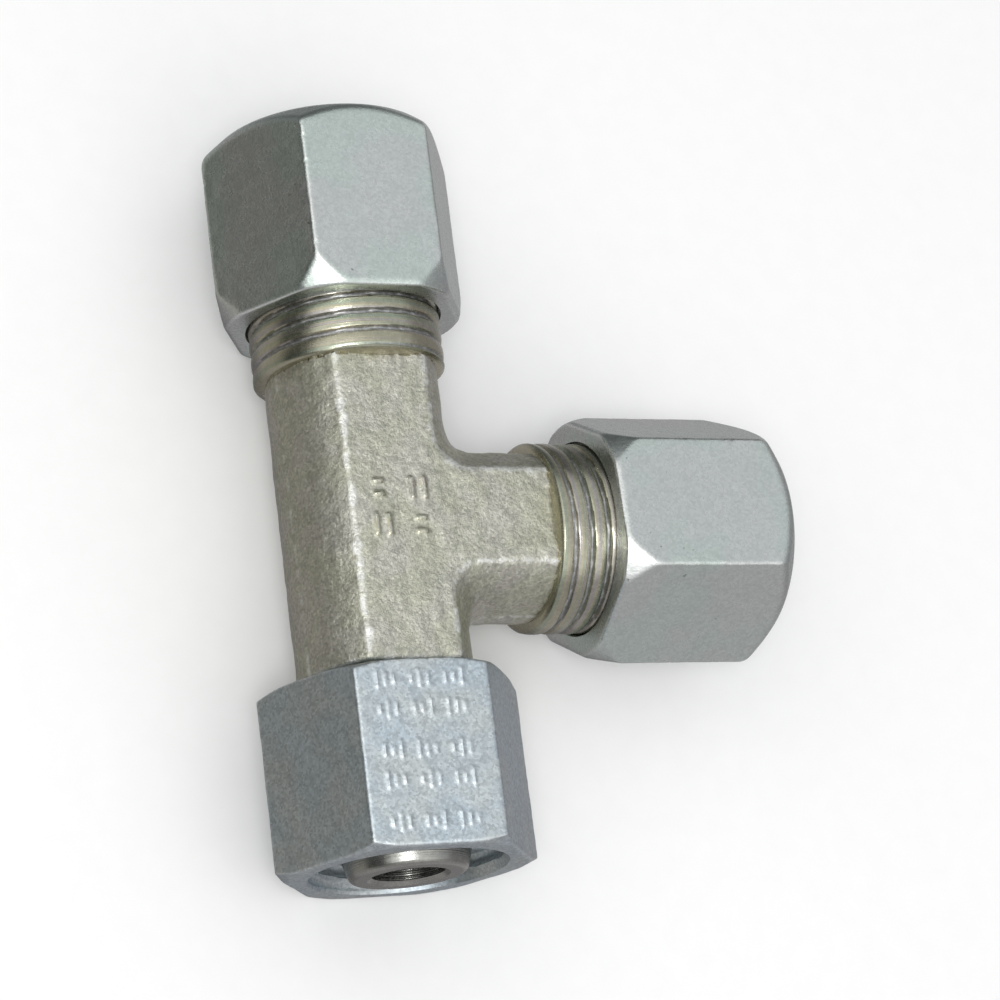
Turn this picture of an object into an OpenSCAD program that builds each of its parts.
// Swivel run tee of the 24 degree cutting-ring kind, for 10 mm tube.
// It lies on its back: the run lies along +Y, the branch leaves along +X, and the forging's two
// flat sides face up and down. The origin is at the tip of the swivel end's nose, on the run axis.

/* [Thread] */
// Outside diameter of the fitting thread
thread_d = 16; // [15.8:0.1:16.2]
// Thread pitch
thread_pitch = 1.5; // [1.25:0.25:1.5]
// Length of thread on each tube end
thread_len = 11; // [10.5:0.5:12]

/* [Tube ends] */
// Bore that takes the tube, with its clearance
tube_bore_d = 10.2; // [10.1:0.1:10.3]
// Depth of the tube stop below the end face
tube_stop = 7; // [6.5:0.5:7.5]
// Mouth of the sealing cone
cone_mouth_d = 12.3; // [12.1:0.1:12.5]
// Half angle of the sealing cone
cone_half_angle = 12; // [11.5:0.5:12.5]
// Flow bore of the run and branch
flow_bore_d = 8; // [7:0.5:8]

/* [Forging] */
// From the swivel end's tip to the branch axis
branch_y = 28.15; // [28:0.05:29]
// From the branch and run crossing to the start of each thread
thread_start = 13.7; // [13:0.1:15]
// Width of a leg across its round sides
leg_w = 14; // [13.7:0.1:14.4]
// Thickness of a leg across its flats
leg_t = 13.3; // [13:0.1:13.6]
// Width of the flat on each leg
flat_w = 7.9; // [7:0.1:8.2]

/* [Union nuts] */
// Width across flats of all three nuts
nut_af = 19; // [19:0.5:20]
// Length of a union nut
union_nut_l = 16.4; // [16:0.1:16.8]
// From the crossing to the outer face of a finger-tight union nut
union_nut_reach = 34.95; // [34.7:0.05:35.5]
// Radius of the nut's end face on the thread side
mouth_face_r = 9.15; // [8.9:0.05:9.3]
// Radius of the nut's end face on the tube side
outer_face_r = 8.2; // [8:0.1:9]
// Length of the corner chamfer on the thread side
mouth_chamfer_l = 2.5; // [2:0.1:3]
// Turn of the run nut's hexagon at rest
run_nut_turn = -1; // [-30:1:30]
// Turn of the branch nut's hexagon at rest
branch_nut_turn = -2; // [-30:1:30]

/* [Cutting rings] */
// Length of a cutting ring
ring_l = 7.6; // [7:0.2:8]
// Outside diameter of the ring's collar
ring_d = 13.4; // [13:0.1:13.6]

/* [Swivel end] */
// Length of the swivel nut
swivel_nut_l = 15; // [14.5:0.5:15.5]
// How far the nose stands out of the nut
nose_out = 0.4; // [0.2:0.1:1]
// Gap between the swivel nut and the forging
swivel_gap = 0.65; // [0.4:0.05:0.8]
// Diameter of the nose at its tip
nose_tip_d = 9.8; // [9.6:0.1:10]
// Bore of the nose
nose_bore_d = 6; // [5:0.5:6.5]
// Diameter of the neck that the nut turns on
neck_d = 12.8; // [12.6:0.1:13]
// Turn of the swivel nut's hexagon at rest
swivel_nut_turn = -6; // [-30:1:30]

/* [Seal and wire] */
// Section of the O-ring
o_ring_section = 1.5; // [1.3:0.1:1.6]
// Diameter of the retaining wire
wire_d = 1.5; // [1.3:0.1:1.6]

/* [Hidden] */

fine = 96;             // segments of a turned surface
lap = 1;               // how far joined solids run into each other
running = 0.05;        // radial clearance where one piece turns on another

thread_r = thread_d / 2 - 0.05;
thread_depth = 0.61 * thread_pitch;
crest = thread_pitch / 6;
face_u = thread_start + thread_len;
stop_u = face_u - tube_stop;
tube_r = tube_bore_d / 2;
flow_r = flow_bore_d / 2;
cone_slope = tan(cone_half_angle);
cone_len = (cone_mouth_d - tube_bore_d) / 2 / cone_slope;

// A leg's round side is an arc through the flat's two edges and the widest point
flat_y = leg_t / 2;
side_shift = (flat_y ^ 2 - (leg_w ^ 2 - flat_w ^ 2) / 4) / (leg_w - flat_w);
side_r = leg_w / 2 + side_shift;

hex_corner_r = nut_af / 2 / cos(30);
nut_tip = 0.3;         // how far the chamfer cones run past the hexagon's corners
mouth_u = union_nut_reach - union_nut_l;
nut_bore_r = thread_d / 2 + running;
nut_relief_r = 7.4;    // clear space round the ring's collar
entry_chamfer = 0.35;  // at the mouth of each nut's thread

// The ring's tapered front end stands in the sealing cone and its 45 degree back fits the nut
ring_r = ring_d / 2;
ring_front_r = tube_r + 0.4;
ring_front_u = face_u - (cone_mouth_d / 2 - ring_front_r) / cone_slope + 0.15;
ring_back_u = ring_front_u + ring_l;
ring_back_r = tube_r + 0.5;
shoulder_u = ring_back_u + ring_back_r - tube_r + running;

leg_foot = nose_out + swivel_nut_l + swivel_gap;
nose_tip_r = nose_tip_d / 2;
nose_bore_r = nose_bore_d / 2;
neck_r = neck_d / 2;
nose_edge = 0.25;      // rounding of the nose tip, cut as a small chamfer
nose_cone_l = (neck_r - nose_tip_r) / cone_slope;
groove_mid = 3.2;      // O-ring groove's middle above the tip
groove_half = o_ring_section / 2 + 0.12;
o_ring_r = nose_tip_r + groove_mid * cone_slope - o_ring_section / 2 + 0.22;
groove_r = o_ring_r - o_ring_section / 2;
wire_z = leg_foot - swivel_gap - 2.8;
wire_r = neck_r + running;
swivel_thread_l = 9;
swivel_minor_r = thread_d / 2 - 0.55 * thread_pitch;
wire_hole_d = wire_d + 0.3;

steel = [0.72, 0.73, 0.66];
plated = [0.74, 0.78, 0.76];
blue_steel = [0.60, 0.64, 0.69];

// A solid of revolution about Z from its half section
module turned(half_section) rotate_extrude($fn = fine) polygon(half_section);

// A solid ring of round section lying in a plane across Z
module round_ring(r, section_r) rotate_extrude($fn = fine) translate([r, 0]) circle(section_r, $fn = 48);

// Every shape is made about its own +Z and laid down: along the run, measured from the nose tip
// or from the crossing, or along the branch, measured from the crossing
module on_axis() rotate([-90, 0, 0]) children();
module on_run() on_axis() translate([0, 0, branch_y]) children();
module on_branch() on_axis() translate([0, 0, branch_y]) rotate([0, 90, 0]) children();

// Stretch of forged leg along its own +Z: flats towards its -Y and +Y, and two round sides
module leg(from, to) {
  translate([0, 0, from]) intersection() {
    translate([-side_shift, 0, 0]) cylinder(r = side_r, h = to - from, $fn = fine);
    translate([side_shift, 0, 0]) cylinder(r = side_r, h = to - from, $fn = fine);
    translate([-leg_w, -flat_y, 0]) cube([2 * leg_w, leg_t, to - from]);
  }
}

// Half section of a tube end: ridges of the thread from the leg to the end face
function ridge(u) = [
  [thread_r - thread_depth, u],
  [thread_r, u + (thread_pitch - crest) / 2],
  [thread_r, u + (thread_pitch + crest) / 2]
];

module thread_end() {
  ridges = floor((thread_len - thread_depth) / thread_pitch);
  turned(concat(
    [[0, thread_start - lap], [thread_r - thread_depth, thread_start - lap]],
    [for (i = [0:ridges - 1]) each ridge(thread_start + i * thread_pitch)],
    [[thread_r - thread_depth, thread_start + ridges * thread_pitch],
     [thread_r - thread_depth, face_u], [0, face_u]]
  ));
}

// What is bored out of a tube end: sealing cone, tube socket with its stop, and flow bore
module tube_socket() {
  turned([[0, 0], [flow_r, 0], [flow_r, stop_u], [tube_r, stop_u], [tube_r, face_u - cone_len],
          [cone_mouth_d / 2, face_u], [cone_mouth_d / 2, face_u + lap], [0, face_u + lap]]);
}

module nose() {
  turned([
    [0, 0], [nose_tip_r - nose_edge, 0], [nose_tip_r + nose_edge * cone_slope, nose_edge],
    [neck_r, nose_cone_l], [neck_r, leg_foot + lap], [0, leg_foot + lap]
  ]);
}

module nose_cuts() {
  translate([0, 0, groove_mid - groove_half]) difference() {
    cylinder(r = neck_r, h = 2 * groove_half, $fn = fine);
    translate([0, 0, -lap]) cylinder(r = groove_r, h = 2 * groove_half + 2 * lap, $fn = fine);
  }
  translate([0, 0, wire_z]) round_ring(wire_r, wire_d / 2 + running);
  turned([[0, -lap], [nose_bore_r + nose_edge + lap, -lap], [nose_bore_r, nose_edge],
          [nose_bore_r, branch_y - flow_r], [flow_r, branch_y], [0, branch_y]]);
}

module tee_body() {
  color(steel) difference() {
    union() {
      on_run() leg(leg_foot - branch_y, thread_start);
      on_branch() leg(0, thread_start);
      on_run() thread_end();
      on_branch() thread_end();
      on_axis() nose();
    }
    on_run() tube_socket();
    on_branch() tube_socket();
    on_axis() nose_cuts();
  }
}

// Hexagon from z = 0 upwards, trimmed by a chamfer cone at each end.
// low and high are each [radius of the end face, length of the chamfer at the corner]
module hex_blank(height, low, high) {
  far_r = hex_corner_r + nut_tip;
  function reach(end) = end[1] * (far_r - end[0]) / (hex_corner_r - end[0]);
  intersection() {
    cylinder(r = hex_corner_r, h = height, $fn = 6);
    turned([[0, 0], [low[0], 0], [far_r, reach(low)], [far_r, height - reach(high)],
            [high[0], height], [0, height]]);
  }
}

// Union nut with its thread end towards the crossing, measured from there
module union_nut(turn) {
  crown_l = (hex_corner_r - outer_face_r) * tan(40);
  difference() {
    translate([0, 0, mouth_u]) rotate([0, 0, turn])
      hex_blank(union_nut_l, [mouth_face_r, mouth_chamfer_l], [outer_face_r, crown_l]);
    turned([
      [0, mouth_u - lap], [nut_bore_r + entry_chamfer, mouth_u - lap],
      [nut_bore_r + entry_chamfer, mouth_u], [nut_bore_r, mouth_u + entry_chamfer],
      [nut_bore_r, face_u + thread_pitch], [nut_relief_r, face_u + thread_pitch],
      [nut_relief_r, shoulder_u - nut_relief_r + tube_r], [tube_r, shoulder_u],
      [tube_r, union_nut_reach + lap], [0, union_nut_reach + lap]
    ]);
  }
}

module run_union_nut() color(plated) on_run() union_nut(run_nut_turn);
module branch_union_nut() color(plated) on_branch() union_nut(branch_nut_turn);

module cutting_ring() {
  step = 0.2;          // how far the waist runs on each side of the body's end face
  waist_r = cone_mouth_d / 2 - step;
  turned([
    [tube_r, ring_front_u], [ring_front_r, ring_front_u],
    [waist_r, face_u - step], [waist_r, face_u + step], [ring_r, face_u + step + ring_r - waist_r],
    [ring_r, ring_back_u - ring_r + ring_back_r], [ring_back_r, ring_back_u], [tube_r, ring_back_u]
  ]);
}

module run_cutting_ring() color([0.55, 0.52, 0.42]) on_run() cutting_ring();
module branch_cutting_ring() color([0.55, 0.52, 0.42]) on_branch() cutting_ring();

// Swivel nut open towards the nose tip, held on the neck by a wire fed in from one flat
module swivel_nut() {
  turns = floor(swivel_thread_l / thread_pitch);
  major_r = thread_d / 2;
  rear_r = neck_r + 2 * running;
  thread_top = nose_out + turns * thread_pitch;
  top = nose_out + swivel_nut_l;
  color(blue_steel) on_axis() difference() {
    translate([0, 0, nose_out]) rotate([0, 0, swivel_nut_turn])
      hex_blank(swivel_nut_l, [nut_af / 2 + 0.4, 1], [nut_af / 2 - 0.3, 1]);
    turned(concat(
      [[0, nose_out - lap], [major_r, nose_out - lap], [major_r, nose_out]],
      [for (i = [0:turns - 1]) each [
        [swivel_minor_r, nose_out + (i + 0.4) * thread_pitch],
        [swivel_minor_r, nose_out + (i + 0.6) * thread_pitch],
        [major_r, nose_out + (i + 1) * thread_pitch]
      ]],
      [[rear_r, thread_top + major_r - rear_r], [rear_r, top + lap], [0, top + lap]]
    ));
    translate([0, 0, wire_z]) round_ring(wire_r, wire_d / 2);
    translate([0, 0, wire_z]) rotate([0, 0, swivel_nut_turn]) translate([wire_r, 0, 0])
      rotate([-90, 0, 0]) cylinder(d = wire_hole_d, h = nut_af, $fn = 32);
  }
}

module cone_o_ring() color([0.08, 0.08, 0.08]) on_axis() translate([0, 0, groove_mid])
  round_ring(o_ring_r, o_ring_section / 2);

module nut_retaining_wire() color([0.66, 0.67, 0.68]) on_axis() translate([0, 0, wire_z])
  round_ring(wire_r, wire_d / 2 - running / 2);

tee_body();
run_union_nut();
branch_union_nut();
run_cutting_ring();
branch_cutting_ring();
swivel_nut();
cone_o_ring();
nut_retaining_wire();
